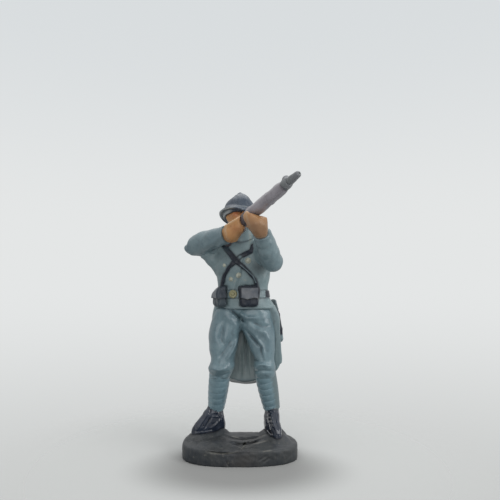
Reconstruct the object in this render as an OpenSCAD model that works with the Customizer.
// Toy soldier figure: an infantryman standing and firing, on an oval base.
// The real one is pressed from composition round steel wires, then painted.
// Millimetres. +Z is up, the figure faces -Y, and the origin is the middle of the base's underside.

/* [Base] */
// Width of the oval base, from side to side
base_w = 33; // [27:0.5:40]
// Depth of the oval base, from front to back
base_d = 18.5; // [15.5:0.5:22]
// Height of the base's upright rim
rim_h = 4.3; // [3:0.1:6]
// Height of the ground above the rim, in the middle of the base
mound_h = 0.9; // [0.5:0.1:1.4]
// Height of the pad of ground under each boot, above the middle of the base
pad_h = 0.9; // [0.5:0.1:1.4]

/* [Legs] */
// Distance between the two ankles
stance_w = 16.4; // [13.8:0.2:19.2]
// Length of a boot
boot_len = 10.4; // [9:0.2:12.4]
// Width of a boot
boot_w = 4.4; // [3.6:0.1:5.3]
// Height of a boot, from its sole to its top edge
boot_h = 7.6; // [6.4:0.1:9]
// Height of a puttee, from the boot to the breeches
puttee_h = 9.5; // [8:0.1:11.4]
// Width of a puttee at the calf
puttee_w = 5.9; // [4.9:0.1:6.8]
// Height of the breeches, from the puttee to the coat's hem
breeches_h = 19.6; // [16:0.2:23.4]
// Width of one breeches leg at the thigh
thigh_w = 8.9; // [7.4:0.1:10]

/* [Greatcoat] */
// Height of the coat's body, from its front hem to the neck
coat_h = 19.8; // [16.5:0.2:23.6]
// Width of the coat at the chest
chest_w = 16.4; // [13.8:0.2:19.6]
// Depth of the coat at the chest
chest_d = 12; // [10:0.2:14.2]
// Height of the coat's tails, from the belt to the back hem
skirt_h = 26; // [21.6:0.2:31]
// Width of the coat's tails
skirt_w = 20.6; // [18:0.2:24]
// Depth of the coat's tails
skirt_d = 14; // [12:0.2:16.6]
// Height of the stand collar
collar_h = 3.2; // [2.6:0.1:3.8]
// Thickness of the collar
collar_t = 0.9; // [0.6:0.1:1.2]

/* [Arms] */
// Length of an upper arm, from shoulder to elbow
upper_arm_len = 9.9; // [8.2:0.1:11.8]
// Thickness of a sleeve
sleeve_w = 5.8; // [4.8:0.1:6.6]
// Length of a hand, from cuff to knuckles
hand_len = 6.4; // [5.3:0.1:7.6]
// Thickness of a finger
finger_w = 1.5; // [1.2:0.1:1.8]

/* [Head] */
// Height of the head, from chin to crown
head_h = 10.6; // [9:0.1:12.6]
// Width of the head
head_w = 7; // [5.8:0.1:8.2]
// Depth of the head, from face to nape
head_d = 8.4; // [7:0.1:10]
// Thickness of the neck
neck_w = 4.8; // [4:0.1:5.7]
// Width of the helmet's dome
helmet_w = 9.1; // [8.6:0.1:10.6]
// Height of the helmet's dome above its brim
helmet_h = 6.2; // [5.2:0.1:7.4]
// How far the brim stands out
brim_w = 0.9; // [0.7:0.1:1.1]
// Thickness of the brim
brim_t = 0.7; // [0.5:0.1:0.9]
// Height of the helmet's crest
crest_h = 0.9; // [0.7:0.1:1.1]
// Width of the helmet's crest
crest_w = 1.1; // [0.9:0.1:1.4]

/* [Equipment] */
// Height of the waist belt
belt_h = 2.2; // [1.8:0.1:2.6]
// Thickness of the waist belt
belt_t = 0.5; // [0.4:0.05:0.6]
// Width of a brace strap
strap_w = 1.1; // [0.9:0.1:1.3]
// Thickness of a brace strap
strap_t = 0.4; // [0.3:0.05:0.5]
// Width of a cartridge pouch
pouch_w = 5.9; // [4.9:0.1:7]
// Height of a cartridge pouch
pouch_h = 5.8; // [4.8:0.1:6.8]
// Depth of a cartridge pouch
pouch_d = 2.6; // [2.2:0.1:3.1]
// Thickness of a pouch flap
flap_t = 0.4; // [0.3:0.05:0.5]
// Diameter of the belt buckle
buckle_d = 2.4; // [2:0.1:2.8]
// Diameter of a coat button
button_d = 1.3; // [1.1:0.05:1.5]
// Length of the bayonet scabbard
scabbard_len = 12.5; // [10.4:0.1:14.8]
// Thickness of the scabbard
scabbard_w = 1.7; // [1.4:0.1:2]

/* [Rifle] */
// Length of the rifle, from butt to muzzle
rifle_len = 41.5; // [35:0.5:48]
// Height of the forestock
stock_h = 3.5; // [2.9:0.1:4.2]
// Width of the forestock
stock_w = 3.3; // [2.8:0.1:3.9]
// Diameter of the barrel
barrel_d = 1.8; // [1.5:0.05:2.1]
// How far the rifle is turned from straight ahead, in degrees
rifle_yaw = 28.6; // [24:0.5:34]
// How far the rifle points above the level, in degrees
rifle_pitch = 15.6; // [12:0.5:18]

/* [Armature] */
// Diameter of the armature wire
wire_d = 1; // [0.8:0.05:1.2]
// Clearance between a wire and the composition round it
wire_fit = 0.05; // [0.03:0.01:0.08]

/* [Hidden] */

// Points in a ring of a large form and of a middling one
big_n = 20;
mid_n = 16;
helmet_n = 24;

// Levels from the ground up
sole_z = rim_h + mound_h + pad_h;
boot_top_z = sole_z + boot_h;
knee_z = boot_top_z + puttee_h;
hem_z = knee_z + breeches_h;
neck_z = hem_z + coat_h;

// Colours of the painted figure
blue_paint = [0.42, 0.49, 0.52];
dark_blue_paint = [0.30, 0.36, 0.42];
black_paint = [0.10, 0.11, 0.13];
skin_paint = [0.62, 0.42, 0.26];
brown_paint = [0.32, 0.28, 0.29];
earth_paint = [0.24, 0.25, 0.26];
brass_paint = [0.55, 0.52, 0.34];
grey_paint = [0.36, 0.38, 0.41];
steel = [0.55, 0.56, 0.58];

function unit(v) = v / norm(v);
function along(a, b, share) = a + (b - a) * share;
function blunt(x, e) = sign(x) * pow(abs(x), 2 / e);

// One closed ring of n points about c, with half axes ru along u and rv along v. e above 2 squares it.
function ring(c, u, v, ru, rv, n, e = 2) =
    [for (i = [0:n - 1]) let (a = 360 * i / n) c + u * ru * blunt(cos(a), e) + v * rv * blunt(sin(a), e)];

// Rings of an upright form. A row is [height, middle x, middle y, half width, half depth],
// as shares of size = [width, depth, height], from the point foot. grow makes it fatter all round.
function upright(rows, size, foot, n, e = 2, grow = 0) =
    [for (r = rows) ring(foot + [r[1] * size[0], r[2] * size[1], r[0] * size[2]],
        [1, 0, 0], [0, 1, 0], r[3] * size[0] + grow, r[4] * size[1] + grow, n, e)];

// Faces of a closed tube through m rings of n points each
function tube_faces(n, m) = concat(
    [[for (k = [0:n - 1]) k]],
    [for (i = [0:m - 2], k = [0:n - 1])
        let (a = i * n + k, b = i * n + (k + 1) % n)
        each [[a, a + n, b + n], [a, b + n, b]]],
    [[for (k = [n - 1:-1:0]) (m - 1) * n + k]]);

// A solid through the rings, made of the hull of each ring and the next.
module skin(rings) {
    for (i = [0:len(rings) - 2])
        hull()
            polyhedron(points = concat(rings[i], rings[i + 1]), faces = tube_faces(len(rings[i]), 2));
}

// Turns the z axis to run from a towards b
module aim(a, b) {
    d = b - a;
    translate(a) rotate([0, acos(d[2] / norm(d)), atan2(d[1], d[0])]) children();
}

// A limb from a to b. A row is [distance, half width, half height], as shares of its length and width.
module limb(rows, a, b, width, n) {
    aim(a, b)
        skin([for (r = rows)
            ring([0, 0, r[0] * norm(b - a)], [0, 1, 0], [1, 0, 0], r[1] * width, r[2] * width, n)]);
}

// A bent rod through the points p, one closed tube with mitred corners. r is its radius at each point.
rod_sides = 8;
function rod_dir(p, i) =
    unit((i > 0 ? unit(p[i] - p[i - 1]) : [0, 0, 0]) + (i < len(p) - 1 ? unit(p[i + 1] - p[i]) : [0, 0, 0]));
module rod(p, r) {
    rings = [for (i = [0:len(p) - 1])
        let (w = rod_dir(p, i), u = unit(cross([0.3, 1, 0.1], w)), v = cross(w, u))
        ring(p[i], u, v, r[i], r[i], rod_sides)];
    polyhedron(points = [for (g = rings) each g], faces = tube_faces(rod_sides, len(p)));
}
module wire(p, d) {
    rod(p, [for (q = p) d / 2]);
}

// Base: an upright rim with the ground rising inside it
base_squareness = 2.5;
base_sides = 48;
mound_shares = [[-0.5, 0.98], [0, 0.98], [0.5, 0.93], [1, 0.74]];
function base_ring(z, share) =
    ring([0, 0, z], [1, 0, 0], [0, 1, 0], share * base_w / 2, share * base_d / 2, base_sides, base_squareness);
// A pad's half widths at the rim's level and at its top, as shares of a boot's width
pad_shares = [0.72, 0.5];
module foot_pad(ankle, turn) {
    top_r = pad_shares[1] * boot_w;
    foot_r = (2 * pad_shares[0] - pad_shares[1]) * boot_w;
    translate([ankle[0], ankle[1], sole_z])
        rotate([180, 0, turn])
            hull()
                for (x = [top_r - heel_share * boot_len, (1 - heel_share) * boot_len - top_r])
                    translate([x, 0, 0])
                        cylinder(r1 = top_r, r2 = foot_r, h = 2 * (mound_h + pad_h), $fn = 32);
}
module base_solid() {
    linear_extrude(height = rim_h)
        polygon([for (p = base_ring(0, 1)) [p[0], p[1]]]);
    skin([for (m = mound_shares) base_ring(rim_h + m[0] * mound_h, m[1])]);
    foot_pad(right_ankle, right_foot_turn);
    foot_pad(left_ankle, left_foot_turn);
}

// Where the legs stand. A row is [x, y] as shares of the stance.
right_ankle_share = [-0.435, 0.245];
left_ankle_share = [0.57, 0.235];
right_ankle = [right_ankle_share[0] * stance_w, right_ankle_share[1] * stance_w, sole_z];
left_ankle = [left_ankle_share[0] * stance_w, left_ankle_share[1] * stance_w, sole_z];
right_foot_turn = 211;
left_foot_turn = -79;
// Rows of a boot, from heel to toe: [distance, half width, half height, middle height] as shares
heel_share = 0.24;
boot_squareness = 2.4;
foot_shares = [
    [0, 0.24, 0.16, 0.18], [0.06, 0.38, 0.26, 0.26], [0.25, 0.44, 0.36, 0.36], [0.45, 0.42, 0.34, 0.33],
    [0.65, 0.48, 0.24, 0.23], [0.85, 0.44, 0.16, 0.16], [0.95, 0.30, 0.12, 0.13], [1, 0.14, 0.07, 0.10]
];
shaft_shares = [
    [0, 0.02, 0, 0.46, 0.44], [0.35, 0.01, 0, 0.50, 0.46], [0.7, 0, 0, 0.54, 0.50], [1, 0, 0, 0.58, 0.56]
];
module boot_solid(ankle, turn) {
    translate(ankle)
        rotate([0, 0, turn]) {
            skin([for (r = foot_shares)
                [for (q = ring([(r[0] - heel_share) * boot_len, 0, r[3] * boot_h], [0, 1, 0], [0, 0, 1],
                        r[1] * boot_w, r[2] * boot_h, mid_n, boot_squareness))
                    [q[0], q[1], max(0, q[2])]]]);
            skin(upright(shaft_shares, [boot_w, boot_w, boot_h], [0, 0, 0], mid_n));
        }
}

// Puttees: a strip wound round the calf, each turn lapping the one below
puttee_turns = 6;
puttee_lap_share = 0.045;
right_knee_share = [-0.355, 0.01];
left_knee_share = [0.445, 0.03];
right_knee = [right_knee_share[0] * stance_w, right_knee_share[1] * stance_w, knee_z];
left_knee = [left_knee_share[0] * stance_w, left_knee_share[1] * stance_w, knee_z];
calf_low_share = 0.395;
calf_high_share = 0.5;
calf_swell_share = 0.03;
calf_depth_share = 1.06;
// How deep a puttee is sunk into the boot's top, as a share of the boot
boot_tuck_share = 0.12;
module puttee_solid(ankle, knee) {
    foot = [ankle[0], ankle[1], boot_top_z - boot_tuck_share * boot_h];
    for (i = [0:puttee_turns - 1])
        let (
            s0 = i / puttee_turns,
            s1 = (i + 1) / puttee_turns,
            r0 = puttee_w * (calf_low_share + (calf_high_share - calf_low_share) * s0
                + calf_swell_share * sin(180 * s0)),
            r1 = puttee_w * (calf_low_share + (calf_high_share - calf_low_share) * s1
                + calf_swell_share * sin(180 * s1) + puttee_lap_share))
        skin([
            ring(along(foot, knee, s0), [1, 0, 0], [0, 1, 0], r0, r0 * calf_depth_share, big_n),
            ring(along(foot, knee, s1), [1, 0, 0], [0, 1, 0], r1, r1 * calf_depth_share, big_n)]);
}

// Breeches legs. A row is [height, middle x, middle y, half width, half depth], heights from the knee as
// shares of the breeches' height, the rest as shares of the thigh's width.
right_thigh_shares = [
    [-0.03, -0.65, 0.01, 0.30, 0.34], [0.02, -0.65, -0.03, 0.36, 0.39], [0.10, -0.64, -0.08, 0.37, 0.41],
    [0.22, -0.60, -0.09, 0.345, 0.39], [0.40, -0.595, -0.05, 0.415, 0.45], [0.60, -0.55, 0, 0.475, 0.50],
    [0.80, -0.40, 0.01, 0.52, 0.52], [0.95, -0.31, 0, 0.53, 0.54], [1.04, -0.24, 0.01, 0.45, 0.48]
];
left_thigh_shares = [
    [-0.03, 0.81, 0.04, 0.28, 0.33], [0.02, 0.81, 0.01, 0.33, 0.38], [0.10, 0.795, -0.04, 0.35, 0.40],
    [0.22, 0.78, -0.05, 0.345, 0.39], [0.40, 0.72, -0.03, 0.43, 0.45], [0.60, 0.63, 0, 0.51, 0.51],
    [0.80, 0.50, 0.01, 0.58, 0.53], [0.95, 0.43, 0, 0.58, 0.54], [1.04, 0.40, 0.01, 0.50, 0.48]
];
thigh_squareness = 2.25;
module thigh_solid(rows) {
    skin(upright(rows, [thigh_w, thigh_w, breeches_h], [0, 0, knee_z], big_n, thigh_squareness));
}

// The coat's body, from the front hem to the neck: shares of the chest's width and depth and the coat's height
coat_squareness = 2.3;
coat_shares = [
    [0, 0.10, 0.02, 0.52, 0.47], [0.12, 0.09, 0.015, 0.505, 0.455], [0.29, 0.04, 0.01, 0.445, 0.42],
    [0.42, 0.05, 0, 0.47, 0.455], [0.60, 0.055, -0.01, 0.50, 0.50], [0.77, 0.045, -0.015, 0.49, 0.485],
    [0.90, 0.02, -0.02, 0.43, 0.41], [0.985, 0, -0.035, 0.30, 0.30], [1.02, 0, -0.05, 0.18, 0.20]
];
module coat_solid(grow = 0) {
    skin(upright(coat_shares, [chest_w, chest_d, coat_h], [0, 0, hem_z], big_n, coat_squareness, grow));
}

// The coat's tails, open in front where the corners are turned back
belt_share = 0.185;
belt_z = hem_z + belt_share * coat_h;
waist_z = belt_z - belt_h / 2;
skirt_shares = [
    [0, 0.09, 0.62, 0.24, 0.06], [0.035, 0.085, 0.55, 0.30, 0.14], [0.13, 0.08, 0.34, 0.42, 0.31],
    [0.25, 0.075, 0.16, 0.50, 0.44], [0.42, 0.07, 0.11, 0.50, 0.465], [0.62, 0.07, 0.07, 0.505, 0.46],
    [0.82, 0.06, 0.04, 0.475, 0.44], [1, 0.035, 0.015, 0.37, 0.39]
];
// The hollow behind the legs
hollow_shares = [
    [-0.05, 0.08, -0.16, 0.44, 0.50], [0.3, 0.075, -0.12, 0.40, 0.47], [0.58, 0.07, -0.08, 0.34, 0.42]
];
// The turned-back front edge: [height, y] at the waist and at the corner, as shares
skirt_front_shares = [[1.02, -0.24], [0.235, 0.12]];
module skirt_front() {
    hi = [skirt_front_shares[0][1] * skirt_d, (skirt_front_shares[0][0] - 1) * skirt_h + waist_z];
    lo = [skirt_front_shares[1][1] * skirt_d, (skirt_front_shares[1][0] - 1) * skirt_h + waist_z];
    rotate([90, 0, 90])
        linear_extrude(height = 2 * skirt_w, center = true)
            polygon([hi, lo, [lo[0], lo[1] - skirt_h], [lo[0] - 2 * skirt_d, lo[1] - skirt_h],
                [lo[0] - 2 * skirt_d, hi[1]]]);
}
module skirt_solid() {
    foot = [0, 0, waist_z - skirt_h];
    difference() {
        skin(upright(skirt_shares, [skirt_w, skirt_d, skirt_h], foot, helmet_n, coat_squareness));
        skin(upright(hollow_shares, [skirt_w, skirt_d, skirt_h], foot, mid_n, coat_squareness));
        skirt_front();
    }
}

// Head: it leans back and turns towards the sights
head_turn = 21;
head_lean = 14;
head_place_share = [-0.075, -0.36, 0.66];
head_at = [head_place_share[0] * head_w, head_place_share[1] * head_d, neck_z + head_place_share[2] * head_h];
head_shares = [
    [-0.455, 0, -0.30, 0.14, 0.12], [-0.40, 0, -0.24, 0.27, 0.24], [-0.25, 0, -0.13, 0.38, 0.37],
    [-0.05, 0, -0.03, 0.46, 0.45], [0.10, 0, 0, 0.48, 0.49], [0.20, 0, 0, 0.42, 0.44],
    [0.32, 0, 0, 0.31, 0.33], [0.40, 0, 0.01, 0.19, 0.21], [0.44, 0, 0.01, 0.10, 0.10]
];
head_squareness = 2.2;
// The nose, from the brow down: [y, z, radius] as shares of the head
nose_shares = [[-0.42, 0.10, 0.04], [-0.47, 0.02, 0.07], [-0.52, -0.10, 0.11], [-0.44, -0.17, 0.05]];
// An ear, from the top down: [x, y, z, radius] as shares of the head
ear_shares = [
    [0.47, 0.06, 0.06, 0.03], [0.50, 0.06, 0.01, 0.07], [0.49, 0.04, -0.09, 0.06], [0.45, 0.02, -0.14, 0.03]
];
neck_shares = [[0, 0.5, 0.5], [1, 0.5, 0.5]];
neck_back_share = -0.05;
module in_head() {
    translate(head_at) rotate([-head_lean, 0, head_turn]) children();
}
module head_solid() {
    in_head() {
        skin(upright(head_shares, [head_w, head_d, head_h], [0, 0, 0], big_n, head_squareness));
        rod([for (q = nose_shares) [0, q[0] * head_d, q[1] * head_h]],
            [for (q = nose_shares) q[2] * head_w]);
        for (side = [-1, 1])
            rod([for (q = ear_shares) [side * q[0] * head_w, q[1] * head_d, q[2] * head_h]],
                [for (q = ear_shares) q[3] * head_w]);
    }
    limb(neck_shares, [0, neck_back_share * head_d, neck_z - neck_w / 2], head_at, neck_w, mid_n);
}

// Helmet: a dome with a drooping brim all round, and a crest from front to back
helmet_seat_share = -0.06;
helmet_long_share = 1.17;
dome_shares = [
    [0, 0.5], [0.22, 0.485], [0.42, 0.43], [0.62, 0.34], [0.80, 0.23], [0.93, 0.12], [1, 0.04]
];
brim_front_share = 1.6;
brim_droop_share = 0.9;
// One level of the helmet: half width r, plus what it stands out in front, behind and at the sides
function helmet_ring(z, r, front = 0, back = 0, side = 0) =
    [for (i = [0:helmet_n - 1])
        let (a = 360 * i / helmet_n, out = side + ((sin(a) < 0 ? front : back) - side) * abs(sin(a)))
        [cos(a) * (r + out), sin(a) * (r * helmet_long_share + out), z]];
module helmet_dome() {
    skin([for (d = dome_shares) helmet_ring(d[0] * helmet_h, d[1] * helmet_w)]);
}
module helmet_brim() {
    droop = brim_droop_share * brim_w;
    skin([
        helmet_ring(-droop - brim_t / 2, helmet_w / 2, brim_w * brim_front_share, brim_w, brim_w),
        helmet_ring(-droop, helmet_w / 2, brim_w * brim_front_share, brim_w, brim_w),
        helmet_ring(brim_t / 2, helmet_w / 2)]);
}
module in_helmet() {
    in_head() translate([0, 0, helmet_seat_share * head_h]) children();
}
module helmet_solid() {
    in_helmet() {
        helmet_dome();
        helmet_brim();
    }
}
// The hollow under the brim
hollow_brim_share = 0.93;
module helmet_hollow() {
    droop = brim_droop_share * brim_w;
    in_helmet()
        skin([
            helmet_ring(-droop - brim_t, helmet_w / 2 * hollow_brim_share, brim_w, brim_w, brim_w),
            helmet_ring(-droop / 2, helmet_w / 2 * hollow_brim_share, brim_w / 2, brim_w / 2, brim_w / 2),
            helmet_ring(brim_t / 2, helmet_w / 2 * hollow_brim_share * hollow_brim_share)]);
}
// The crest over the dome, from its front end to the top: [height on the dome, lift], as shares
crest_shares = [[0.25, 0], [0.36, 0.55], [0.62, 1], [0.80, 1], [0.93, 1], [1, 1]];
function crest_point(c, side) = [
    side * (lookup(c[0], dome_shares) * helmet_w * helmet_long_share + c[1] * crest_h),
    c[0] * helmet_h + c[1] * crest_h
];
module crest_solid() {
    last = len(crest_shares) - 1;
    in_helmet()
        rotate([90, 0, 90])
            linear_extrude(height = crest_w, center = true)
                polygon(concat(
                    [for (k = [0:last]) crest_point(crest_shares[k], -1)],
                    [for (k = [last:-1:0]) crest_point(crest_shares[k], 1)]));
}

// Collar: a stand collar round the neck. A row is [height, how far forward, size], as shares.
collar_foot_share = [0, -0.09, -0.62];
collar_shares = [[0, 0, 1.12], [1, -0.25, 1]];
module collar_solid() {
    r = neck_w / 2 + collar_t;
    foot = [collar_foot_share[0] * chest_w, collar_foot_share[1] * chest_d, neck_z]
        + [0, 0, collar_foot_share[2] * collar_h];
    skin([for (c = collar_shares)
        ring(foot + [0, c[1], c[0]] * collar_h, [1, 0, 0], [0, 1, 0], c[2] * r, c[2] * r, helmet_n)]);
}

// Rifle, in its own frame: x from the butt to the muzzle, z up
rifle_dir = [sin(rifle_yaw) * cos(rifle_pitch), -cos(rifle_yaw) * cos(rifle_pitch), sin(rifle_pitch)];
butt_share = [-0.315, -0.125, 1.015];
butt_at = [butt_share[0] * chest_w, butt_share[1] * chest_d, hem_z + butt_share[2] * coat_h];
function on_rifle(share, drop = 0) = butt_at + rifle_dir * share * rifle_len + [0, 0, -drop];
module in_rifle() {
    translate(butt_at) rotate([0, -rifle_pitch, rifle_yaw - 90]) children();
}
// Rows of the stock: [distance, drop, half height, half width], as shares of the rifle and of the stock
stock_squareness = 2.5;
stock_shares = [
    [0, 0.42, 0.68, 0.28], [0.015, 0.42, 0.74, 0.32], [0.12, 0.36, 0.58, 0.34], [0.20, 0.26, 0.40, 0.31],
    [0.27, 0.14, 0.42, 0.38], [0.33, 0.06, 0.48, 0.45], [0.42, 0.02, 0.50, 0.49], [0.55, 0, 0.50, 0.50],
    [0.70, 0, 0.48, 0.48], [0.83, 0, 0.45, 0.45], [0.85, 0, 0.33, 0.33]
];
module stock_solid() {
    in_rifle()
        skin([for (r = stock_shares)
            ring([r[0] * rifle_len, 0, -r[1] * stock_h], [0, 1, 0], [0, 0, 1],
                r[3] * stock_w, r[2] * stock_h, mid_n, stock_squareness)]);
}
barrel_from_share = 0.25;
barrel_lift_share = 0.04;
barrel_tip_share = 0.06;
muzzle_share = 0.45;
module barrel_solid(fit = 0) {
    in_rifle()
        translate([barrel_from_share * rifle_len, 0, barrel_lift_share * stock_h])
            rotate([0, 90, 0]) {
                straight = (1 - barrel_from_share - barrel_tip_share) * rifle_len;
                cylinder(d = barrel_d + 2 * fit, h = straight, $fn = 32);
                translate([0, 0, straight])
                    cylinder(d1 = barrel_d + 2 * fit, d2 = muzzle_share * barrel_d,
                        h = barrel_tip_share * rifle_len, $fn = 32);
            }
}
nose_cap_share = 0.845;
nose_cap_len_share = 0.055;
nose_cap_w_share = 0.82;
// The foresight's block on the nose cap: its rise and its diameter, as shares of the cap
sight_rise_share = 0.42;
sight_d_share = 0.62;
module nose_cap_solid() {
    cap_d = nose_cap_w_share * stock_w;
    cap_len = nose_cap_len_share * rifle_len;
    in_rifle()
        translate([nose_cap_share * rifle_len, 0, barrel_lift_share * stock_h])
            rotate([0, 90, 0]) {
                cylinder(d = cap_d, h = cap_len, $fn = 32);
                translate([-sight_rise_share * cap_d, 0, cap_len / 2])
                    sphere(d = sight_d_share * cap_d, $fn = 24);
            }
}
band_share = 0.66;
band_len_share = 0.03;
band_t_share = 0.06;
band_fit_share = 0.48;
module band_solid() {
    in_rifle()
        skin([for (s = [0, 1])
            ring([(band_share + s * band_len_share) * rifle_len, 0, 0], [0, 1, 0], [0, 0, 1],
                (band_fit_share + band_t_share) * stock_w, (band_fit_share + band_t_share) * stock_h,
                mid_n, stock_squareness)]);
}

// Arms. Shoulders are shares of the coat, elbows lie an upper arm's length away.
right_shoulder_share = [-0.36, 0.08, 0.865];
left_shoulder_share = [0.37, -0.17, 0.85];
function coat_point(s) = [s[0] * chest_w, s[1] * chest_d, hem_z + s[2] * coat_h];
right_shoulder = coat_point(right_shoulder_share);
left_shoulder = coat_point(left_shoulder_share);
right_arm_dir_share = [-0.97, -0.22, 0.09];
left_arm_dir_share = [0.32, -0.85, -0.44];
right_upper_arm_share = 0.83;
right_elbow = right_shoulder + unit(right_arm_dir_share) * right_upper_arm_share * upper_arm_len;
left_elbow = left_shoulder + unit(left_arm_dir_share) * upper_arm_len;
// Hands hold the rifle at these shares of its length, below its axis and beside it by shares of the hand
right_grip_share = 0.235;
left_grip_share = 0.525;
right_palm_drop_share = 0.30;
left_palm_drop_share = 0.58;
right_palm_side_share = -0.14;
right_cuff_share = 0.24;
left_cuff_share = 0.26;
right_palm = on_rifle(right_grip_share, right_palm_drop_share * hand_len)
    + [right_palm_side_share * hand_len, 0, 0];
left_palm = on_rifle(left_grip_share, left_palm_drop_share * hand_len);
right_wrist = along(right_palm, right_elbow, right_cuff_share);
left_wrist = along(left_palm, left_elbow, left_cuff_share);
upper_arm_shares = [
    [-0.25, 0.50, 0.52], [0, 0.60, 0.60], [0.28, 0.575, 0.58], [0.62, 0.52, 0.53], [0.97, 0.43, 0.44]
];
elbow_share = 0.47;
forearm_shares = [
    [0, 0.40, 0.40], [0.25, 0.50, 0.52], [0.6, 0.48, 0.50], [0.8, 0.45, 0.465], [0.9, 0.42, 0.43],
    [1, 0.43, 0.44]
];
module sleeve_solid(shoulder, elbow, wrist) {
    limb(upper_arm_shares, shoulder, elbow, sleeve_w, mid_n);
    limb(forearm_shares, elbow, wrist, sleeve_w, mid_n);
    translate(elbow) sphere(r = elbow_share * sleeve_w, $fn = 20);
}

// A hand: a palm, four fingers closed round the stock and a thumb
right_palm_shares = [
    [-0.15, 0.25, 0.25], [0.25, 0.34, 0.36], [0.7, 0.40, 0.46], [1, 0.36, 0.42], [1.3, 0.22, 0.26]
];
left_palm_shares = [
    [-0.2, 0.32, 0.32], [0.25, 0.38, 0.38], [0.7, 0.44, 0.44], [1, 0.45, 0.45], [1.3, 0.38, 0.38]
];
// A point round the rifle's axis, at a turn that is 0 on the figure's left and 90 on top
rifle_side = [cos(rifle_yaw), sin(rifle_yaw), 0];
rifle_up = cross(rifle_dir, rifle_side);
finger_sink_share = 0.7;
function grip_point(share, turn) =
    on_rifle(share) + rifle_side * cos(turn) * (stock_w + finger_sink_share * finger_w) / 2
        + rifle_up * sin(turn) * (stock_h + finger_sink_share * finger_w) / 2;
finger_pitch_share = 0.88;
// How much further round each finger reaches than the one before, in degrees
finger_fan = -6;
finger_end_share = 0.45;
thumb_share = 1.1;
palm_w_share = 0.88;
module finger(share, turns, r) {
    last = len(turns) - 1;
    rod([for (t = turns) grip_point(share, t)],
        [for (k = [0:last]) r * (k == last ? finger_end_share : 1)]);
}
module hand_solid(rows, palm, wrist, grip, finger_turns, thumb_turns) {
    limb(rows, wrist, palm, palm_w_share * hand_len, mid_n);
    for (f = [0:3])
        finger(grip + (f - 1.5) * finger_w * finger_pitch_share / rifle_len,
            [for (t = finger_turns) t + (f - 1.5) * finger_fan], finger_w / 2);
    finger(grip, thumb_turns, thumb_share * finger_w / 2);
}
right_finger_turns = [197, 227, 257, 287, 311, 319];
right_thumb_turns = [170, 140, 112, 85, 78];
left_finger_turns = [298, 268, 240, 214, 190, 181];
left_thumb_turns = [285, 312, 338, 358, 364];
module right_hand_solid() {
    hand_solid(right_palm_shares, right_palm, right_wrist, right_grip_share,
        right_finger_turns, right_thumb_turns);
}
module left_hand_solid() {
    hand_solid(left_palm_shares, left_palm, left_wrist, left_grip_share,
        left_finger_turns, left_thumb_turns);
}

// Belt, buckle, pouches and straps lie on the coat
module belt_solid() {
    intersection() {
        coat_solid(belt_t);
        translate([0, 0, belt_z])
            cube([2 * chest_w, 2 * chest_d, belt_h], center = true);
    }
}
buckle_share = -0.115;
buckle_stand_share = 0.3;
// What a round punch from the front cuts out of a coat that stands out by lift
module stud(x, z, d, lift) {
    intersection() {
        coat_solid(lift);
        translate([x, 0, z])
            rotate([90, 0, 0])
                cylinder(d = d, h = chest_d, $fn = 32);
    }
}
module buckle_solid() {
    stud(buckle_share * chest_w, belt_z, buckle_d, belt_t + buckle_stand_share * buckle_d);
}
// A pouch's place: [x, y] as shares of the chest, with its turn in degrees
right_pouch_share = [-0.29, -0.29];
left_pouch_share = [0.155, -0.44];
right_pouch_turn = -68;
left_pouch_turn = 4;
pouch_drop_share = 0.1;
pouch_round_share = 0.12;
module at_pouch(place, turn) {
    translate([place[0] * chest_w, place[1] * chest_d, belt_z - pouch_drop_share * pouch_h])
        rotate([0, 0, turn])
            children();
}
module pouch_block(w, d, h, r) {
    hull()
        for (x = [-1, 1], z = [-1, 1])
            translate([x * (w / 2 - r), -d / 2, z * (h / 2 - r)])
                rotate([90, 0, 0])
                    cylinder(r = r, h = d, center = true, $fn = 16);
}
module pouch_solid(place, turn) {
    at_pouch(place, turn)
        pouch_block(pouch_w - 2 * flap_t, pouch_d, pouch_h - flap_t, pouch_round_share * pouch_h);
}
flap_share = 0.66;
module flap_solid(place, turn) {
    at_pouch(place, turn)
        intersection() {
            translate([0, -flap_t / 2, flap_t / 2])
                pouch_block(pouch_w, pouch_d + flap_t, pouch_h, pouch_round_share * pouch_h);
            translate([0, -pouch_d / 2, pouch_h * (0.5 - flap_share / 2) + flap_t])
                cube([2 * pouch_w, 2 * pouch_d, flap_share * pouch_h + flap_t], center = true);
        }
}
// A strap is what a thin upright slab cuts out of a slightly larger coat. Seen from the front, the slab runs
// from one shoulder through the crossing to the waist. Points are [x, z] as shares of the coat.
cross_share = [-0.07, 0.665];
module strap_run(a, b, w) {
    pa = [a[0] * chest_w, hem_z + a[1] * coat_h];
    pb = [b[0] * chest_w, hem_z + b[1] * coat_h];
    d = pb - pa;
    translate(pa)
        rotate(atan2(d[1], d[0]))
            translate([-w / 2, -w / 2])
                square([norm(d) + w, w]);
}
module brace_solid(top_low, lift = strap_t, w = strap_w) {
    intersection() {
        coat_solid(lift);
        rotate([90, 0, 0])
            linear_extrude(height = 2 * chest_d, center = true)
                union() {
                    strap_run(cross_share, top_low[0], w);
                    strap_run(top_low[1], cross_share, w);
                }
    }
}
right_brace_shares = [[-0.36, 0.98], [0.33, 0.22]];
left_brace_shares = [[0.36, 1.0], [-0.38, 0.22]];

// Buttons: [x, z] as shares of the coat
button_shares = [[0.145, 0.665], [-0.02, 0.455], [-0.155, 0.40], [-0.27, 0.60]];
button_stand_share = 0.45;
module buttons_solid() {
    for (b = button_shares)
        stud(b[0] * chest_w, hem_z + b[1] * coat_h, button_d, button_stand_share * button_d);
}

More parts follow.
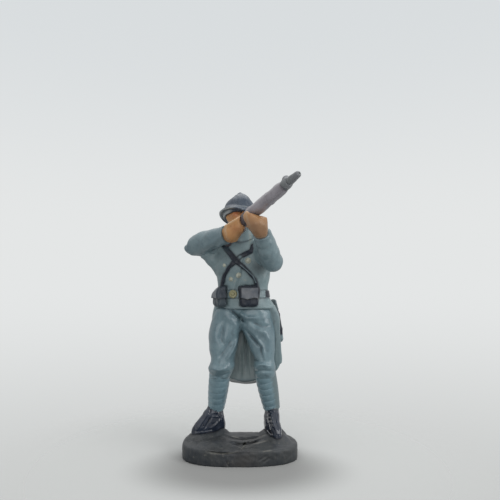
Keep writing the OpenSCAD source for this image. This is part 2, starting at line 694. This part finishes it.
// Scabbard and frog at the left hip
scabbard_top_share = [0.525, 0.30];
scabbard_lean = -7;
scabbard_back = 8;
scabbard_tip_share = 0.1;
scabbard_top = [scabbard_top_share[0] * skirt_w, scabbard_top_share[1] * skirt_d, belt_z - belt_h];
module in_scabbard() {
    translate(scabbard_top) rotate([180 - scabbard_back, scabbard_lean, 0]) children();
}
module scabbard_solid() {
    in_scabbard() {
        cylinder(d = scabbard_w, h = scabbard_len * (1 - scabbard_tip_share), $fn = 24);
        translate([0, 0, scabbard_len * (1 - scabbard_tip_share)])
            cylinder(d1 = scabbard_w, d2 = scabbard_w / 2, h = scabbard_len * scabbard_tip_share, $fn = 24);
    }
}
frog_len_share = 0.34;
frog_drop_share = 0.05;
frog_w_share = 1.45;
module frog_solid() {
    in_scabbard()
        translate([0, 0, frog_drop_share * scabbard_len])
            cube([frog_w_share * scabbard_w, frog_w_share * scabbard_w, frog_len_share * scabbard_len],
                center = true);
}

// The armature: five bent wires inside the composition. Their points in the body are shares of the coat.
wire_foot_share = 0.25;
right_hip_shares = [[-0.14, 0.02, 0], [-0.055, 0.02, 0.36]];
left_hip_shares = [[0.23, 0.02, 0], [0.11, 0.02, 0.36]];
spine_shares = [[0.02, 0.02, 0.34], [0, 0, 0.8], [0, -0.05, 1]];
right_arm_root_share = [-0.12, 0.1, 0.8];
left_arm_root_share = [0.12, -0.12, 0.78];
// How far a wire reaches into the head, and into each hand's palm
spine_top_share = 0.25;
right_arm_end_share = 0.3;
left_arm_end_share = 0.6;
function leg_path(ankle, knee, hips) = concat(
    [[ankle[0], ankle[1], wire_foot_share * rim_h], ankle + [0, 0, boot_h], knee],
    [for (h = hips) coat_point(h)]);
right_leg_path = leg_path(right_ankle, right_knee, right_hip_shares);
left_leg_path = leg_path(left_ankle, left_knee, left_hip_shares);
spine_path = concat([for (q = spine_shares) coat_point(q)], [head_at + [0, 0, spine_top_share * head_h]]);
right_arm_path = [
    coat_point(right_arm_root_share), right_shoulder, right_elbow,
    along(right_wrist, right_palm, right_arm_end_share)
];
left_arm_path = [
    coat_point(left_arm_root_share), left_shoulder, left_elbow,
    along(left_wrist, left_palm, left_arm_end_share)
];
module leg_wires(fit) {
    wire(right_leg_path, wire_d + 2 * fit);
    wire(left_leg_path, wire_d + 2 * fit);
}
module spine(fit = 0) {
    wire(spine_path, wire_d + 2 * fit);
}
module right_arm_core(fit = 0) {
    wire(right_arm_path, wire_d + 2 * fit);
}
module left_arm_core(fit = 0) {
    wire(left_arm_path, wire_d + 2 * fit);
}
module rifle_solid() {
    stock_solid();
    barrel_solid();
    nose_cap_solid();
    band_solid();
}

// The pieces, each cut by those that it meets
module base() {
    color(earth_paint)
        difference() {
            base_solid();
            for (p = [right_ankle, left_ankle])
                translate([p[0], p[1], wire_foot_share * rim_h])
                    cylinder(d = wire_d + 2 * wire_fit, h = base_w, $fn = 24);
        }
}
module boot(ankle, knee, turn) {
    color(black_paint)
        difference() {
            boot_solid(ankle, turn);
            puttee_solid(ankle, knee);
            leg_wires(wire_fit);
        }
}
module puttee(ankle, knee, rows) {
    color(blue_paint)
        difference() {
            puttee_solid(ankle, knee);
            thigh_solid(rows);
            leg_wires(wire_fit);
        }
}
module right_breeches_leg() {
    color(blue_paint)
        difference() {
            thigh_solid(right_thigh_shares);
            coat_solid();
            leg_wires(wire_fit);
        }
}
module left_breeches_leg() {
    color(blue_paint)
        difference() {
            thigh_solid(left_thigh_shares);
            thigh_solid(right_thigh_shares);
            coat_solid();
            leg_wires(wire_fit);
        }
}
module coat_body() {
    color(blue_paint)
        difference() {
            coat_solid();
            leg_wires(wire_fit);
            spine(wire_fit);
            right_arm_core(wire_fit);
            left_arm_core(wire_fit);
        }
}
module coat_skirt() {
    color(blue_paint)
        difference() {
            skirt_solid();
            coat_solid(belt_t);
            thigh_solid(right_thigh_shares);
            thigh_solid(left_thigh_shares);
            puttee_solid(right_ankle, right_knee);
            puttee_solid(left_ankle, left_knee);
        }
}
module coat_collar() {
    color(blue_paint)
        difference() {
            collar_solid();
            coat_solid();
            head_solid();
            stock_solid();
            spine(wire_fit);
        }
}
module right_sleeve() {
    color(blue_paint)
        difference() {
            sleeve_solid(right_shoulder, right_elbow, right_wrist);
            coat_solid(strap_t);
            rifle_solid();
            right_arm_core(wire_fit);
        }
}
module left_sleeve() {
    color(blue_paint)
        difference() {
            sleeve_solid(left_shoulder, left_elbow, left_wrist);
            coat_solid(strap_t);
            left_arm_core(wire_fit);
        }
}
module right_hand() {
    color(skin_paint)
        difference() {
            right_hand_solid();
            sleeve_solid(right_shoulder, right_elbow, right_wrist);
            rifle_solid();
            head_solid();
            right_arm_core(wire_fit);
        }
}
module left_hand() {
    color(skin_paint)
        difference() {
            left_hand_solid();
            sleeve_solid(left_shoulder, left_elbow, left_wrist);
            rifle_solid();
            left_arm_core(wire_fit);
        }
}
module head() {
    color(skin_paint)
        difference() {
            head_solid();
            coat_solid();
            rifle_solid();
            spine(wire_fit);
        }
}
module helmet_shell() {
    color(dark_blue_paint)
        difference() {
            helmet_solid();
            helmet_hollow();
            head_solid();
        }
}
module helmet_crest() {
    color(dark_blue_paint)
        difference() {
            crest_solid();
            helmet_solid();
        }
}
module waist_belt() {
    color(black_paint)
        difference() {
            belt_solid();
            coat_solid();
        }
}
module belt_buckle() {
    color(brass_paint)
        difference() {
            buckle_solid();
            coat_solid(belt_t);
            flap_solid(right_pouch_share, right_pouch_turn);
            flap_solid(left_pouch_share, left_pouch_turn);
        }
}
module pouch(place, turn) {
    color(black_paint)
        difference() {
            pouch_solid(place, turn);
            skirt_solid();
            coat_solid(belt_t);
        }
}
module pouch_flap(place, turn) {
    color(grey_paint)
        difference() {
            flap_solid(place, turn);
            pouch_solid(place, turn);
            skirt_solid();
            coat_solid(belt_t);
        }
}
module right_brace() {
    color(black_paint)
        difference() {
            brace_solid(right_brace_shares);
            coat_solid();
            brace_solid(left_brace_shares, strap_t / 2, strap_w + lap_fit);
            belt_solid();
            collar_solid();
            head_solid();
        }
}
// The right brace crosses over the left one, each at half its thickness
lap_fit = 0.06;
module left_brace() {
    color(black_paint)
        difference() {
            brace_solid(left_brace_shares);
            coat_solid();
            difference() {
                brace_solid(right_brace_shares, 2 * strap_t, strap_w + lap_fit);
                coat_solid(strap_t / 2);
            }
            belt_solid();
            collar_solid();
            head_solid();
        }
}
module coat_buttons() {
    color(brass_paint)
        difference() {
            buttons_solid();
            coat_solid();
            flap_solid(left_pouch_share, left_pouch_turn);
        }
}
module bayonet_scabbard() {
    color(black_paint)
        difference() {
            scabbard_solid();
            skirt_solid();
        }
}
module scabbard_frog() {
    color(brown_paint)
        difference() {
            frog_solid();
            scabbard_solid();
            skirt_solid();
            coat_solid(belt_t);
        }
}
module rifle_stock() {
    color(brown_paint)
        difference() {
            stock_solid();
            barrel_solid(wire_fit);
            coat_solid(strap_t);
        }
}
module rifle_barrel() {
    color(steel) barrel_solid();
}
module rifle_nose_cap() {
    color(steel)
        difference() {
            nose_cap_solid();
            stock_solid();
            barrel_solid(wire_fit);
        }
}
module rifle_band() {
    color(steel)
        difference() {
            band_solid();
            stock_solid();
            barrel_solid(wire_fit);
        }
}

base();
boot(right_ankle, right_knee, right_foot_turn);  // right_boot
boot(left_ankle, left_knee, left_foot_turn);  // left_boot
puttee(right_ankle, right_knee, right_thigh_shares);  // right_puttee
puttee(left_ankle, left_knee, left_thigh_shares);  // left_puttee
right_breeches_leg();
left_breeches_leg();
coat_body();
coat_skirt();
coat_collar();
right_sleeve();
left_sleeve();
right_hand();
left_hand();
head();
helmet_shell();
helmet_crest();
waist_belt();
belt_buckle();
pouch(right_pouch_share, right_pouch_turn);  // right_pouch
pouch(left_pouch_share, left_pouch_turn);  // left_pouch
pouch_flap(right_pouch_share, right_pouch_turn);  // right_pouch_flap
pouch_flap(left_pouch_share, left_pouch_turn);  // left_pouch_flap
right_brace();
left_brace();
coat_buttons();
bayonet_scabbard();
scabbard_frog();
rifle_stock();
rifle_barrel();
rifle_nose_cap();
rifle_band();
color(steel) wire(right_leg_path, wire_d);  // right_leg_wire
color(steel) wire(left_leg_path, wire_d);  // left_leg_wire
color(steel) spine();  // spine_wire
color(steel) right_arm_core();  // right_arm_wire
color(steel) left_arm_core();  // left_arm_wire
